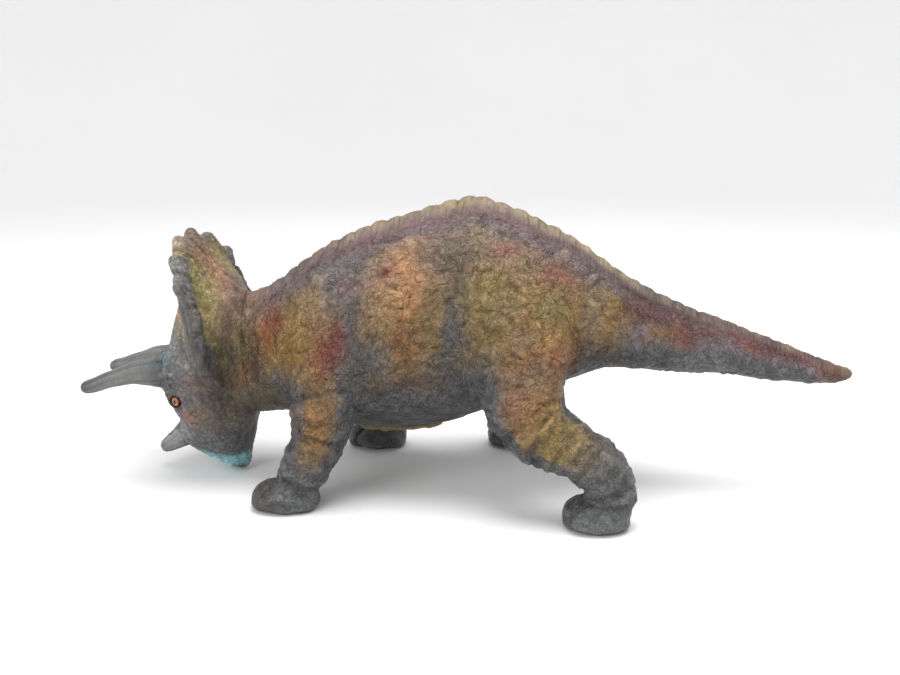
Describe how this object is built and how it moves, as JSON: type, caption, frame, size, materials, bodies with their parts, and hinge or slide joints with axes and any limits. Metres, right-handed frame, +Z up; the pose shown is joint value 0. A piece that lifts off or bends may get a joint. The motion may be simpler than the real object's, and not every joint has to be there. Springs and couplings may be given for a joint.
{
  "type": "toy dinosaur figure",
  "caption": "Large soft vinyl toy figure of a horned, frilled dinosaur walking with its head lowered, hand painted, stuffed with fibre, with a turning head.",
  "frame": {"origin": "on the floor under the middle of the figure's bounding box", "axes": "the dinosaur faces -X with its tail towards +X, its left side faces -Y, +Z is up"},
  "size_m": [0.4602, 0.185, 0.1742],
  "materials": {
    "body_skin": "soft vinyl with cobbled scales, hand-painted mustard over grey with plum and red, satin",
    "head_skin": "soft vinyl, grey face with teal beak, frill olive to mauve behind, satin",
    "horn": "solid vinyl, grey with lengthwise grooves, satin",
    "eye": "orange iris, black pupil and rim, gloss",
    "belly_closure": "glued closure, slate paint with tan glue at its edge, matt",
    "stuffing": "off-white polyester fibre, hidden"
  },
  "bodies": {
    "body": {"torso_skin": "body_skin", "front_leg_left": "body_skin", "front_leg_right": "body_skin", "rear_leg_left": "body_skin", "rear_leg_right": "body_skin", "tail_skin": "body_skin", "belly_plug": "belly_closure", "torso_filling": "stuffing", "tail_filling": "stuffing", "front_leg_left_filling": "stuffing", "front_leg_right_filling": "stuffing", "rear_leg_left_filling": "stuffing", "rear_leg_right_filling": "stuffing"},
    "head": {"head_skin": "head_skin", "brow_horn_left": "horn", "brow_horn_right": "horn", "nose_horn": "horn", "eye_left": "eye", "eye_right": "eye", "head_filling": "stuffing"}
  },
  "joints": [
    {"name": "neck_swivel", "type": "hinge", "parent": "body", "child": "head", "pos_m": [-0.12581, 0, 0.07704], "axis": [-0.9916, 0, -0.1292], "range_deg": [-30, 30]}
  ]
}
